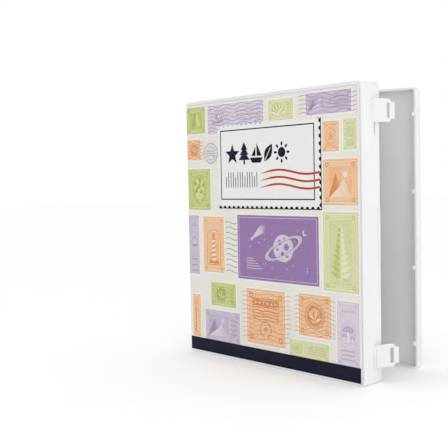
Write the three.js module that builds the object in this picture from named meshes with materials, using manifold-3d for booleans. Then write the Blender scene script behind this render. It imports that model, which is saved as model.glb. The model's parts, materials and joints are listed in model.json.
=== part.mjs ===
// Stamp album: a ring-binder case in white polypropylene that closes like a box.
//
// Two shallow trays, the front case and the back case, are joined to a flat spine by living hinges at
// the spine's two outer edges. A printed sheet under clear film covers the outside of all three.
// Two snap latches on the front case's fore-edge hook over catches on the back case. A ring mechanism
// inside the back case holds the stock leaves, which have clear pockets on one side.
//
// Frame, in millimetres: the origin is the middle of the spine's bottom edge, +X runs from the spine to
// the fore-edge, -Y points out of the front cover, and +Z runs up the spine. The album stands on its
// bottom edges with the back case open by REST_OPEN.
//
// Every piece is drawn closed, at (u, v, z): u from the spine's outer face towards the fore-edge, v from
// the front cover's outer face towards the back cover's, and z up. Inside the back case, rise is the
// height above its panel. Groups then turn each body about its hinge line.

import * as THREE from "three";
import { mergeVertices } from "three/addons/utils/BufferGeometryUtils.js";
import Module from "manifold-3d";

const wasm = await Module();
wasm.setup();
const radians = THREE.MathUtils.degToRad;

// ---- case -------------------------------------------------------------------------------------
const HEIGHT = 300; // of the case, standing
const WIDTH = 262; // from the spine's outer face to the fore-edge
const THICKNESS = 42; // closed, over both panels
const FRONT_DEPTH = 28; // of the front case; the back case has the rest
const PANEL = 2; // panels and spine
const WALL = 2.2; // walls round the trays
const CORNER_R = 4; // fore-edge corners of both cases
const RIM_GAP = 0.3; // between the two rims when closed
const HINGE_CLEARANCE = 0.4; // what a case and the spine keep clear of each other
const HINGE_LIP = 0.8; // thickness of the plastic beside a hinge line
const REST_OPEN = radians(15.5); // of the back case, as the album stands
const SEAT_GAP = 0.3; // between a piece and what it lies on

// ---- printed sheets and the clear film over them ---------------------------------------------------
const SHEET = { thickness: 0.4, top: 4.5, foot: 3, side: 1.8 }; // margins to the edges of the case
const FILM = { thickness: 0.3, top: 1, foot: 1, side: 1 };

// ---- latches -----------------------------------------------------------------------------------
const LATCH_FROM_END = 28; // from the case's top or bottom to a latch's middle
const LATCH_HEIGHT = 23;
const LATCH_PLATE = 1.8;
const LATCH_FROM_RIM = 11; // from the front case's depth back to the latch's hinge line
const LATCH_SEAT = 2; // width of the rib that a latch hangs on
const LATCH_AIR = 0.5; // between a closed latch and the walls
const LATCH_SLOT = { width: 4, height: 15, fromHinge: 16.2 };
const LATCH_LIP = { fromSlot: 1.4, run: 3.2, flare: 2, height: 16.5 };
const LATCH_SHOULDER = { run: 2.6, drop: 0.8 }; // the plate's rounded corners beside the lip
const CATCH = { clearance: 0.6, height: 11, proud: 1.9 };
const TOP_LATCH_OPEN = radians(12);
const BOTTOM_LATCH_OPEN = radians(20);

// ---- small features of the cases --------------------------------------------------------------------
const THUMB_LIP = { length: 52, width: 2.6, proud: 1.4, fromRim: 1.4 };
const RELIEF = { length: 13, width: 2, fromSeat: 2.2 }; // slot through the wall below the top latch
const TAB = { length: 4, thickness: 1.2, proud: 2.5, clearance: 0.4, root: 3 }; // locate the back rim
const TAB_FROM_MIDDLE = 40.5;
const TAB_FROM_FORE_EDGE = [62, 172]; // on the top and bottom walls

// ---- leaves -------------------------------------------------------------------------------------------
const LEAF_COUNT = 5;
const LEAF_THICKNESS = 0.8;
const LEAF_FORE_ROOM = 45.8; // from the leaves to the fore-edge wall
const LEAF_END_ROOM = 8.3; // from the leaves to the top and bottom walls
const LEAF_CORNER_R = 3;
const LEAF_BINDING = 9; // from a leaf's edge to its holes
const LEAF_HOLE_R = 4;
const LEAF_FIRST_RISE = 6;
const LEAF_PITCH = 3.4;
const POCKET = { rows: 6, film: 0.3, fromBinding: 16, fromEdge: 6, slit: 1, slitMargin: 5 };

// ---- ring mechanism ----------------------------------------------------------------------------------
const RING_PITCH = 108; // between neighbouring rings
const RING_COUNT = 3;
const RING_R = 2; // of the posts, the arms and the bar
const RING_POST_U = 23; // from the spine's outer face to the posts
const RING_AIR = 0.3; // between an arm's tip and its post
const POST_SPARE = 1.1; // of a post above the last leaf's pockets
const BAR_U = 9;
const BAR_RISE = 6.4;
const BAR_CLEARANCE = 0.15;
const SLEEVE = { r: 3.4, length: 7 }; // of an arm, round the bar
const BAR_SHORT = 4; // by which the bar stops before the base does, at each end
const RING_BASE = { near: 4, far: 8, endRoom: 12.8, thickness: 2.4 }; // past the bar, past the posts
const LUG = { width: 7, height: 9.8, length: 8, mouth: 3.2, fromMiddleRing: 24, fromOuterRing: 12 };
const LUG_FROM_MIDDLE = [LUG.fromMiddleRing, RING_PITCH - LUG.fromOuterRing].flatMap((d) => [-d, d]);
const LEVER = { length: 15, reach: 15, thickness: 2.4 };
const RIVET = { shaftR: 2, headR: 3.6, head: 1, foot: 0.6, clearance: 0.3, fromPost: 4 };
const RIVET_FROM_MIDDLE = [-120, -54, 54, 120];

// ---- derived --------------------------------------------------------------------------------------------
const MID_Z = HEIGHT / 2;
const HINGE_SETBACK = PANEL + HINGE_CLEARANCE; // where the panels start, from their hinge line
const FRONT_RIM = FRONT_DEPTH - RIM_GAP / 2;
const BACK_RIM = FRONT_DEPTH + RIM_GAP / 2;
const BACK_FLOOR = THICKNESS - PANEL; // inner face of the back panel
const LATCH_HINGE = { u: WIDTH + LATCH_AIR + LATCH_PLATE, v: FRONT_DEPTH - LATCH_FROM_RIM };
const LATCH_Z = { bottom: LATCH_FROM_END, top: HEIGHT - LATCH_FROM_END };
const SLOT_V = LATCH_HINGE.v + LATCH_SLOT.fromHinge;
const LEAF_U = { from: RING_POST_U - LEAF_BINDING, to: WIDTH - WALL - LEAF_FORE_ROOM };
const LEAF_Z = { from: WALL + LEAF_END_ROOM, to: HEIGHT - WALL - LEAF_END_ROOM };
const POCKET_TOP = LEAF_THICKNESS / 2 + SEAT_GAP + POCKET.film; // above the middle of its leaf
const POST_RISE = LEAF_FIRST_RISE + (LEAF_COUNT - 1) * LEAF_PITCH + POCKET_TOP + POST_SPARE;
const ARM_R = (RING_POST_U - BAR_U) / 2;
const BASE_TOP = SEAT_GAP + RING_BASE.thickness;
const BASE_U = { from: BAR_U - RING_BASE.near, to: RING_POST_U + RING_BASE.far };
const BASE_Z = { from: WALL + RING_BASE.endRoom, to: HEIGHT - WALL - RING_BASE.endRoom };
const RING_Z = Array.from({ length: RING_COUNT }, (_, i) => MID_Z + (i - (RING_COUNT - 1) / 2) * RING_PITCH);
const RIVET_U = RING_POST_U + RIVET.fromPost;
const ROUND_SIDES = 24;
const CORNER_STEPS = 6;
const ARM_STEPS = 18;
const WELD = 1e-4; // vertices closer than this are one

const paint = (color, roughness, more = {}) => new THREE.MeshStandardMaterial({ color, roughness, ...more });
const casePlastic = paint(0xf2f2f3, 0.42);
const printedPaper = paint(0xe4dcc4, 0.8);
const clearFilm = paint(0xf4f6f7, 0.15, { transparent: true, opacity: 0.25 });
const ringPlastic = paint(0xe8e9ea, 0.4);
const leafBoard = paint(0xf3f2ee, 0.75);
const nylon = paint(0xd9dadb, 0.5);

// ---- shapes ----------------------------------------------------------------------------------------------

const riseToV = (rise) => BACK_FLOOR - rise;
const limits = (a, b) => [Math.min(a, b), Math.max(a, b)];

// An outline in (u, z), its corners rounded by foreR at the fore-edge and by spineR at the spine.
function outline([u0, u1], [z0, z1], foreR, spineR = 0) {
  const s = new THREE.Shape();
  if (spineR > 0) {
    s.absarc(u0 + spineR, z1 - spineR, spineR, Math.PI / 2, Math.PI);
    s.absarc(u0 + spineR, z0 + spineR, spineR, Math.PI, 1.5 * Math.PI);
  } else {
    s.moveTo(u0, z1);
    s.lineTo(u0, z0);
  }
  s.absarc(u1 - foreR, z0 + foreR, foreR, -Math.PI / 2, 0);
  s.absarc(u1 - foreR, z1 - foreR, foreR, 0, Math.PI / 2);
  return s;
}

// An outline drawn in (u, z), extruded between two values of v.
function plate(shape, [v0, v1]) {
  const g = new THREE.ExtrudeGeometry(shape, {
    depth: v1 - v0,
    bevelEnabled: false,
    curveSegments: CORNER_STEPS,
  });
  return g.rotateX(Math.PI / 2).translate(0, v1, 0);
}

// An outline drawn in (u, v), extruded between two values of z.
function column(points, [z0, z1]) {
  const shape = new THREE.Shape(points.map(([u, v]) => new THREE.Vector2(u, v)));
  return new THREE.ExtrudeGeometry(shape, { depth: z1 - z0, bevelEnabled: false }).translate(0, 0, z0);
}

// An outline drawn in (v, z), extruded between two values of u.
function facing(points, [u0, u1]) {
  const shape = new THREE.Shape(points.map(([v, z]) => new THREE.Vector2(v, z)));
  const g = new THREE.ExtrudeGeometry(shape, { depth: u1 - u0, bevelEnabled: false });
  return g.rotateX(Math.PI / 2).rotateZ(Math.PI / 2).translate(u0, 0, 0);
}

function block([u0, u1], [v0, v1], [z0, z1]) {
  const g = new THREE.BoxGeometry(u1 - u0, v1 - v0, z1 - z0);
  return g.translate((u0 + u1) / 2, (v0 + v1) / 2, (z0 + z1) / 2);
}

// A block in the back case, between two values of rise.
const raised = (us, [r0, r1], zs) => block(us, [riseToV(r1), riseToV(r0)], zs);

function rod(r, u, v, [z0, z1]) {
  const g = new THREE.CylinderGeometry(r, r, z1 - z0, ROUND_SIDES).rotateX(Math.PI / 2);
  return g.translate(u, v, (z0 + z1) / 2);
}

// A turned shape standing on the back panel: profile points are (radius, rise).
function turned(profile, u, z) {
  const points = profile.map(([r, rise]) => new THREE.Vector2(r, rise));
  return new THREE.LatheGeometry(points, ROUND_SIDES).rotateX(Math.PI).translate(u, BACK_FLOOR, z);
}

const post = (r, u, z, [r0, r1]) => turned([[0, r0], [r, r0], [r, r1], [0, r1]], u, z);

function solid(geometry) {
  const bare = geometry.index ? geometry.toNonIndexed() : geometry.clone();
  bare.deleteAttribute("normal");
  bare.deleteAttribute("uv");
  const merged = mergeVertices(bare, WELD);
  return new wasm.Manifold(
    new wasm.Mesh({
      numProp: 3,
      vertProperties: merged.attributes.position.array,
      triVerts: new Uint32Array(merged.index.array),
    }),
  );
}

// base without everything in cut, and then with everything in added.
function carve(base, cut, added = []) {
  let made = solid(base);
  for (const g of cut) made = made.subtract(solid(g));
  for (const g of added) made = made.add(solid(g));
  const m = made.getMesh();
  const g = new THREE.BufferGeometry();
  g.setAttribute("position", new THREE.BufferAttribute(new Float32Array(m.vertProperties), 3));
  g.setIndex(new THREE.BufferAttribute(new Uint32Array(m.triVerts), 1));
  g.computeVertexNormals();
  return g;
}

// ---- groups -------------------------------------------------------------------------------------------------

const album = new THREE.Group();
album.position.set(-PANEL / 2, -THICKNESS / 2, 0);

// A group whose contents are still drawn at (u, v, z), turned by angle about the line at (u, v).
function hinged(u, v, angle) {
  const pivot = new THREE.Group();
  pivot.position.set(u, v, 0);
  pivot.rotation.z = angle;
  const inside = new THREE.Group();
  inside.position.set(-u, -v, 0);
  pivot.add(inside);
  album.add(pivot);
  return inside;
}

function place(group, name, geometry, material) {
  const mesh = new THREE.Mesh(geometry, material);
  mesh.name = name;
  group.add(mesh);
}

// ---- cases ------------------------------------------------------------------------------------------------------

// A tray open towards the spine, from the outer face of its panel to its rim, both values of v.
function tray(face, rim) {
  const inwards = Math.sign(rim - face);
  const ends = [WALL, HEIGHT - WALL];
  const innerR = Math.max(CORNER_R - WALL, 0.5);
  const lipU = [HINGE_LIP + HINGE_CLEARANCE, HINGE_SETBACK + 1];
  return {
    shell: plate(outline([HINGE_SETBACK, WIDTH], [0, HEIGHT], CORNER_R), limits(face, rim)),
    hollow: plate(
      outline([HINGE_SETBACK - 1, WIDTH - WALL], ends, innerR),
      limits(face + inwards * PANEL, rim + inwards),
    ),
    lip: block(lipU, limits(face, face + inwards * HINGE_LIP), [0, HEIGHT]),
  };
}

function frontCase() {
  const { shell, hollow, lip } = tray(0, FRONT_RIM);
  const half = LATCH_HEIGHT / 2;
  const seatV = [LATCH_HINGE.v - SEAT_GAP - LATCH_SEAT, LATCH_HINGE.v - SEAT_GAP];
  const seats = Object.values(LATCH_Z).map((z) => block([WIDTH - 1, LATCH_HINGE.u], seatV, [z - half, z + half]));
  const lipV = FRONT_RIM - THUMB_LIP.fromRim;
  const thumbLip = block(
    [WIDTH - 1, WIDTH + THUMB_LIP.proud],
    [lipV - THUMB_LIP.width, lipV],
    [MID_Z - THUMB_LIP.length / 2, MID_Z + THUMB_LIP.length / 2],
  );
  const reliefV = LATCH_HINGE.v + RELIEF.fromSeat;
  const reliefTop = LATCH_Z.top - half;
  const relief = block(
    [WIDTH - WALL - 1, WIDTH + 1],
    [reliefV, reliefV + RELIEF.width],
    [reliefTop - RELIEF.length, reliefTop],
  );
  return carve(shell, [hollow, relief], [lip, thumbLip, ...seats]);
}

function catches() {
  const v = [SLOT_V + CATCH.clearance, SLOT_V + LATCH_SLOT.width - CATCH.clearance];
  return Object.values(LATCH_Z).map((z) =>
    block([WIDTH - 1, WIDTH + CATCH.proud], v, [z - CATCH.height / 2, z + CATCH.height / 2]),
  );
}

// Tabs that stand past the back rim, just inside the front case's walls.
function locatingTabs() {
  const tipV = [BACK_RIM - TAB.proud, BACK_RIM + 1];
  const rootV = [BACK_RIM, BACK_RIM + TAB.root];
  const inset = WALL + TAB.clearance;
  const along = (middle) => [middle - TAB.length / 2, middle + TAB.length / 2];
  const foreU = WIDTH - inset;
  const atForeEdge = [LATCH_Z.bottom, MID_Z - TAB_FROM_MIDDLE, MID_Z + TAB_FROM_MIDDLE, LATCH_Z.top];
  const atEnds = TAB_FROM_FORE_EDGE.map((d) => WIDTH - d);
  return [
    ...atForeEdge.flatMap((z) => [
      block([foreU - TAB.thickness, foreU], tipV, along(z)),
      block([foreU - TAB.thickness, WIDTH - WALL / 2], rootV, along(z)),
    ]),
    ...atEnds.flatMap((u) => [
      block(along(u), tipV, [inset, inset + TAB.thickness]),
      block(along(u), rootV, [WALL / 2, inset + TAB.thickness]),
      block(along(u), tipV, [HEIGHT - inset - TAB.thickness, HEIGHT - inset]),
      block(along(u), rootV, [HEIGHT - inset - TAB.thickness, HEIGHT - WALL / 2]),
    ]),
  ];
}

function backCase() {
  const { shell, hollow, lip } = tray(THICKNESS, BACK_RIM);
  const footRoom = RIVET.foot + 2 * SEAT_GAP;
  const rivetHoles = RIVET_FROM_MIDDLE.flatMap((z) => [
    post(RIVET.shaftR + RIVET.clearance, RIVET_U, MID_Z + z, [-PANEL - 1, 1]),
    post(RIVET.headR + RIVET.clearance, RIVET_U, MID_Z + z, [-PANEL - 1, -PANEL + footRoom]),
  ]);
  return carve(shell, [hollow, ...rivetHoles], [lip, ...catches(), ...locatingTabs()]);
}

function spinePanel() {
  const reach = HINGE_SETBACK + 1;
  const lipU = [0, HINGE_LIP];
  return carve(
    block([0, PANEL], [HINGE_SETBACK, THICKNESS - HINGE_SETBACK], [0, HEIGHT]),
    [],
    [
      block(lipU, [HINGE_CLEARANCE, reach], [0, HEIGHT]),
      block(lipU, [THICKNESS - reach, THICKNESS - HINGE_CLEARANCE], [0, HEIGHT]),
    ],
  );
}

// ---- printed sheets and film --------------------------------------------------------------------------------------

// How far a layer's two faces stand out from the panel that it covers.
const SHEET_OUT = [SEAT_GAP, SEAT_GAP + SHEET.thickness];
const FILM_OUT = [SHEET_OUT[1] + SEAT_GAP, SHEET_OUT[1] + SEAT_GAP + FILM.thickness];

function coverLayer(layer, [near, far], face, outwards) {
  const shape = outline(
    [HINGE_CLEARANCE, WIDTH - layer.side],
    [layer.foot, HEIGHT - layer.top],
    Math.max(CORNER_R - layer.side, 0.5),
  );
  return plate(shape, limits(face + outwards * near, face + outwards * far));
}

function spineLayer(layer, [near, far]) {
  const across = [HINGE_CLEARANCE, THICKNESS - HINGE_CLEARANCE];
  return block([-far, -near], across, [layer.foot, HEIGHT - layer.top]);
}

// ---- latches --------------------------------------------------------------------------------------------------------

function latch(z) {
  const { u, v } = LATCH_HINGE;
  const inner = u - LATCH_PLATE;
  const lipV = SLOT_V + LATCH_SLOT.width + LATCH_LIP.fromSlot;
  const end = lipV + LATCH_LIP.run;
  const profile = [
    [inner, v],
    [u, v],
    [u, lipV],
    [u + LATCH_LIP.flare, end],
    [inner + LATCH_LIP.flare, end],
    [inner, lipV],
  ];
  const across = (size) => [z - size / 2, z + size / 2];
  const through = [inner - 1, u + LATCH_LIP.flare + 1];
  const slot = block(through, [SLOT_V, SLOT_V + LATCH_SLOT.width], across(LATCH_SLOT.height));
  const half = LATCH_HEIGHT / 2;
  const shoulderV = lipV - LATCH_SHOULDER.run;
  const corner = [
    [shoulderV, half],
    [shoulderV + LATCH_SHOULDER.run * 0.6, half - LATCH_SHOULDER.drop],
    [lipV, (half + LATCH_LIP.height / 2) / 2],
    [lipV, LATCH_LIP.height / 2],
    [end + 1, LATCH_LIP.height / 2],
    [end + 1, half + 1],
    [shoulderV, half + 1],
  ];
  const cornersOff = [1, -1].map((side) => {
    const points = corner.map(([pv, pz]) => [pv, z + side * pz]);
    return facing(side > 0 ? points : points.reverse(), through);
  });
  return carve(column(profile, across(LATCH_HEIGHT)), [slot, ...cornersOff]);
}

// ---- ring mechanism ----------------------------------------------------------------------------------------------------

function ringBase() {
  const strip = raised([BASE_U.from, BASE_U.to], [SEAT_GAP, BASE_TOP], [BASE_Z.from, BASE_Z.to]);
  const lugs = LUG_FROM_MIDDLE.map((z) => {
    const zs = [MID_Z + z - LUG.length / 2, MID_Z + z + LUG.length / 2];
    return raised([BAR_U - LUG.width / 2, BAR_U + LUG.width / 2], [BASE_TOP - 1, LUG.height], zs);
  });
  const bore = rod(RING_R + BAR_CLEARANCE, BAR_U, riseToV(BAR_RISE), [BASE_Z.from - 1, BASE_Z.to + 1]);
  const mouth = raised(
    [BAR_U - LUG.mouth / 2, BAR_U + LUG.mouth / 2],
    [BAR_RISE, LUG.height + 1],
    [BASE_Z.from - 1, BASE_Z.to + 1],
  );
  const holes = RIVET_FROM_MIDDLE.map((z) =>
    post(RIVET.shaftR + RIVET.clearance, RIVET_U, MID_Z + z, [0, BASE_TOP + 1]),
  );
  const withLugs = carve(strip, [], lugs);
  const posts = RING_Z.map((z) => post(RING_R, RING_POST_U, z, [BASE_TOP - 1, POST_RISE]));
  return carve(withLugs, [bore, mouth, ...holes], posts);
}

// The centre line of an arm: straight up from the bar, then half round to the top of its post.
class ArmLine extends THREE.Curve {
  constructor(z) {
    super();
    this.z = z;
  }

  getPoint(t, target = new THREE.Vector3()) {
    const straight = POST_RISE + RING_AIR - BAR_RISE;
    const along = t * (straight + Math.PI * ARM_R);
    const turn = Math.max(along - straight, 0) / ARM_R;
    const rise = BAR_RISE + Math.min(along, straight) + ARM_R * Math.sin(turn);
    return target.set(BAR_U + ARM_R * (1 - Math.cos(turn)), riseToV(rise), this.z);
  }
}

const barEnds = [BASE_Z.from + BAR_SHORT, BASE_Z.to - BAR_SHORT];

function ringBar() {
  const lever = raised(
    [BAR_U - LEVER.thickness / 2, BAR_U + LEVER.thickness / 2],
    [BAR_RISE, BAR_RISE + LEVER.reach],
    [barEnds[1] - LEVER.length, barEnds[1]],
  );
  return carve(rod(RING_R, BAR_U, riseToV(BAR_RISE), barEnds), [], [lever]);
}

// An arm stands on a sleeve that grips the bar.
function ringArm(z) {
  const section = new THREE.Shape().absarc(0, 0, RING_R, 0, 2 * Math.PI);
  const arm = new THREE.ExtrudeGeometry(section, {
    extrudePath: new ArmLine(z),
    steps: ARM_STEPS,
    curveSegments: CORNER_STEPS,
  });
  const sleeve = rod(SLEEVE.r, BAR_U, riseToV(BAR_RISE), [z - SLEEVE.length / 2, z + SLEEVE.length / 2]);
  const bore = rod(RING_R + BAR_CLEARANCE, BAR_U, riseToV(BAR_RISE), [z - SLEEVE.length, z + SLEEVE.length]);
  return carve(carve(arm, [], [sleeve]), [bore]);
}

// A rivet through the base and the back panel; its foot lies in a recess, under the printed sheet.
function rivet(z) {
  const foot = SEAT_GAP - PANEL;
  const neck = foot + RIVET.foot;
  const seat = BASE_TOP + SEAT_GAP;
  const profile = [
    [0, foot],
    [RIVET.headR, foot],
    [RIVET.headR, neck],
    [RIVET.shaftR, neck],
    [RIVET.shaftR, seat],
    [RIVET.headR, seat],
    [RIVET.headR, seat + RIVET.head / 2],
    [RIVET.shaftR, seat + RIVET.head],
    [0, seat + RIVET.head],
  ];
  return turned(profile, RIVET_U, z);
}

// ---- leaves ----------------------------------------------------------------------------------------------------------------

function leaf(rise) {
  const shape = outline([LEAF_U.from, LEAF_U.to], [LEAF_Z.from, LEAF_Z.to], LEAF_CORNER_R, LEAF_CORNER_R);
  shape.holes = RING_Z.map((z) => new THREE.Path().absarc(RING_POST_U, z, LEAF_HOLE_R, 0, 2 * Math.PI));
  return plate(shape, [riseToV(rise + LEAF_THICKNESS / 2), riseToV(rise - LEAF_THICKNESS / 2)]);
}

// One sheet of clear film, slit into rows of pockets and whole along both sides.
function pockets(rise) {
  const us = [LEAF_U.from + POCKET.fromBinding, LEAF_U.to - POCKET.fromEdge];
  const zs = [LEAF_Z.from + POCKET.fromEdge, LEAF_Z.to - POCKET.fromEdge];
  const row = (zs[1] - zs[0]) / POCKET.rows;
  const slits = Array.from({ length: POCKET.rows - 1 }, (_, i) => {
    const z = zs[0] + (i + 1) * row;
    const us1 = [us[0] + POCKET.slitMargin, us[1] - POCKET.slitMargin];
    return block(us1, [0, THICKNESS], [z - POCKET.slit / 2, z + POCKET.slit / 2]);
  });
  const top = rise + POCKET_TOP;
  const film = plate(outline(us, zs, 1, 1), [riseToV(top), riseToV(top - POCKET.film)]);
  return carve(film, slits);
}

// ---- assembly --------------------------------------------------------------------------------------------------------------------

place(album, "spine_panel", spinePanel(), casePlastic);
place(album, "spine_sheet", spineLayer(SHEET, SHEET_OUT), printedPaper);
place(album, "spine_film", spineLayer(FILM, FILM_OUT), clearFilm);

place(album, "front_case", frontCase(), casePlastic);
place(album, "front_sheet", coverLayer(SHEET, SHEET_OUT, 0, -1), printedPaper);
place(album, "front_film", coverLayer(FILM, FILM_OUT, 0, -1), clearFilm);

const topLatch = hinged(LATCH_HINGE.u, LATCH_HINGE.v, -TOP_LATCH_OPEN);
place(topLatch, "top_latch", latch(LATCH_Z.top), casePlastic);
const bottomLatch = hinged(LATCH_HINGE.u, LATCH_HINGE.v, -BOTTOM_LATCH_OPEN);
place(bottomLatch, "bottom_latch", latch(LATCH_Z.bottom), casePlastic);

const back = hinged(0, THICKNESS, REST_OPEN);
place(back, "back_case", backCase(), casePlastic);
place(back, "back_sheet", coverLayer(SHEET, SHEET_OUT, THICKNESS, 1), printedPaper);
place(back, "back_film", coverLayer(FILM, FILM_OUT, THICKNESS, 1), clearFilm);
place(back, "ring_base", ringBase(), ringPlastic);
place(back, "ring_bar", ringBar(), ringPlastic);
RING_Z.forEach((z, i) => place(back, `ring_arm_${i + 1}`, ringArm(z), ringPlastic));
RIVET_FROM_MIDDLE.forEach((z, i) => place(back, `ring_rivet_${i + 1}`, rivet(MID_Z + z), nylon));
for (let i = 0; i < LEAF_COUNT; i += 1) {
  const rise = LEAF_FIRST_RISE + i * LEAF_PITCH;
  place(back, `leaf_${i + 1}`, leaf(rise), leafBoard);
  place(back, `leaf_${i + 1}_pockets`, pockets(rise), clearFilm);
}

export default album;
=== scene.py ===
import json
import math
import random

import bmesh
import bpy
from mathutils import Matrix, Vector
from mathutils.geometry import tessellate_polygon

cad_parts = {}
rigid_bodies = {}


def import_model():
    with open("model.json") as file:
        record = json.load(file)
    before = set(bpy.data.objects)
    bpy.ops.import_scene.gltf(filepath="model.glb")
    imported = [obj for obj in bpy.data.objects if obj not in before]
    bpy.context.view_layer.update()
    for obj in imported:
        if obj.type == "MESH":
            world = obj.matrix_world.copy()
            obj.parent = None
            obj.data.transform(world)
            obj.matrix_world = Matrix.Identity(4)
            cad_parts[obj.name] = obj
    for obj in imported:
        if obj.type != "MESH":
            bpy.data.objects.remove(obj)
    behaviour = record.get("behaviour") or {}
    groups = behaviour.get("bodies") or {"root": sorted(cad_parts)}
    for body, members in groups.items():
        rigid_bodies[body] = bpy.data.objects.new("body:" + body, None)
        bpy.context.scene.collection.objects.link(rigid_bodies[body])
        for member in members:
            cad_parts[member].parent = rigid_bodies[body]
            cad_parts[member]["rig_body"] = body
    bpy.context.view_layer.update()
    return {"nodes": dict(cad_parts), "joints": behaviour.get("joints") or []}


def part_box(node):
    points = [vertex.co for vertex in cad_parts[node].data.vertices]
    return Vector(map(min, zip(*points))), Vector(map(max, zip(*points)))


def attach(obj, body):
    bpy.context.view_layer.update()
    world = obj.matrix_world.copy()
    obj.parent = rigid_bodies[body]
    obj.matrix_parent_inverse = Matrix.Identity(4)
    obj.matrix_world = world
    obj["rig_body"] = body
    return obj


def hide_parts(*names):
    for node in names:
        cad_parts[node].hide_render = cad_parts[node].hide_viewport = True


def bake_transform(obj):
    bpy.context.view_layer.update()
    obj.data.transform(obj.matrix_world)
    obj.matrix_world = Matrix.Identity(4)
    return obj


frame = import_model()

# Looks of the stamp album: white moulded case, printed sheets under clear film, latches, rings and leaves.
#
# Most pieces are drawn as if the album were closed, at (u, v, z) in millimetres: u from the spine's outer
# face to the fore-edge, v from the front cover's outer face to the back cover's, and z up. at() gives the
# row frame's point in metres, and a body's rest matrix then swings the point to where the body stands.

MM = 0.001
rng = random.Random(7)

# ---- sizes, from the frame ----

JOINTS = {joint["name"]: joint for joint in frame["joints"]}
SPINE_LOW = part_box("spine_panel")[0]
FRONT_LOW, FRONT_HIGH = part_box("front_case")
U_ZERO, V_ZERO = SPINE_LOW.x, FRONT_LOW.y  # where u and v start, in metres
HEIGHT = FRONT_HIGH.z / MM
THICKNESS = (JOINTS["back_hinge"]["pos_m"][1] - JOINTS["front_hinge"]["pos_m"][1]) / MM
SHEET_LOW, SHEET_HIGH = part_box("front_sheet")
SHEET_RIGHT = (SHEET_HIGH.x - U_ZERO) / MM
SHEET_FOOT, SHEET_TOP = SHEET_LOW.z / MM, SHEET_HIGH.z / MM
# From a panel's face to the inner and the outer face of what lies on it.
SHEET_IN, SHEET_OUT = (V_ZERO - SHEET_HIGH.y) / MM, (V_ZERO - SHEET_LOW.y) / MM
FILM_LOW, FILM_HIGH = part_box("front_film")
FILM_IN, FILM_OUT = (V_ZERO - FILM_HIGH.y) / MM, (V_ZERO - FILM_LOW.y) / MM
FILM_FOOT, FILM_TOP = FILM_LOW.z / MM, FILM_HIGH.z / MM
FILM_RIGHT = (FILM_HIGH.x - U_ZERO) / MM
HINGE_CLEAR = (SHEET_LOW.x - U_ZERO) / MM  # where the flat layers stop short of a hinge line


def at(u, v, z):
    return Vector((U_ZERO + u * MM, V_ZERO + v * MM, z * MM))


def swing(joint_name, share=1.0):
    """The turn from closed to rest of a body that swings on a joint, or a share of that turn."""
    joint = JOINTS[joint_name]
    to_pivot = Matrix.Translation(joint["pos_m"])
    angle = -math.radians(joint["range_deg"][0]) * share
    return to_pivot @ Matrix.Rotation(angle, 4, Vector(joint["axis"])) @ to_pivot.inverted()


IN_PLACE = Matrix.Identity(4)
BACK_REST = swing("back_hinge")

# ---- materials ----


def linear(rgb):
    """sRGB bytes to linear values with alpha."""
    share = [c / 255 for c in rgb]
    return [c / 12.92 if c <= 0.04045 else ((c + 0.055) / 1.055) ** 2.4 for c in share] + [1.0]


class Look:
    """A material being built: nodes in object space, round one Principled shader."""

    def __init__(self, name, roughness=0.5):
        self.material = bpy.data.materials.new(name)
        self.material.use_nodes = True
        self.tree = self.material.node_tree
        self.shader = self.tree.nodes["Principled BSDF"]
        self.shader.inputs["Roughness"].default_value = roughness
        self.space = self.tree.nodes.new("ShaderNodeTexCoord").outputs["Object"]

    def node(self, kind, **values):
        made = self.tree.nodes.new(kind)
        for key, value in values.items():
            if key in made.inputs:
                made.inputs[key].default_value = value
            else:
                setattr(made, key, value)
        return made

    def link(self, out, into):
        self.tree.links.new(out, into)

    def noise(self, size_mm, detail=3.0, stretch=(1, 1, 1)):
        """Noise whose features are about size_mm across."""
        mapping = self.node("ShaderNodeMapping")
        mapping.inputs["Scale"].default_value = [s / (size_mm * MM) for s in stretch]
        self.link(self.space, mapping.inputs["Vector"])
        noise = self.node("ShaderNodeTexNoise", Scale=1.0, Detail=detail)
        self.link(mapping.outputs["Vector"], noise.inputs["Vector"])
        return noise.outputs["Fac"]

    def lines(self, period_mm, wobble):
        """Parallel engraved lines."""
        wave = self.node("ShaderNodeTexWave", Scale=math.pi * 2 / (20 * period_mm * MM), Distortion=wobble)
        wave.bands_direction = "DIAGONAL"
        self.link(self.space, wave.inputs["Vector"])
        return wave.outputs["Fac"]

    def ramp(self, fac, low, high, start=0.35, stop=0.65):
        ramp = self.node("ShaderNodeValToRGB")
        ramp.color_ramp.elements[0].position = start
        ramp.color_ramp.elements[1].position = stop
        ramp.color_ramp.elements[0].color = low
        ramp.color_ramp.elements[1].color = high
        self.link(fac, ramp.inputs["Fac"])
        return ramp.outputs["Color"]

    def mix(self, fac, a, b):
        mix = self.node("ShaderNodeMix", data_type="RGBA")
        self.link(fac, mix.inputs["Factor"])
        self.link(a, mix.inputs[6])
        self.link(b, mix.inputs[7])
        return mix.outputs[2]

    def colour(self, out):
        self.link(out, self.shader.inputs["Base Color"])

    def rough(self, fac, low, high):
        spread = self.node("ShaderNodeMapRange")
        spread.inputs["To Min"].default_value = low
        spread.inputs["To Max"].default_value = high
        self.link(fac, spread.inputs["Value"])
        self.link(spread.outputs["Result"], self.shader.inputs["Roughness"])

    def bump(self, fac, height_mm, strength=0.6):
        bump = self.node("ShaderNodeBump", Strength=strength, Distance=height_mm * MM)
        self.link(fac, bump.inputs["Height"])
        self.link(bump.outputs["Normal"], self.shader.inputs["Normal"])


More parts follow.
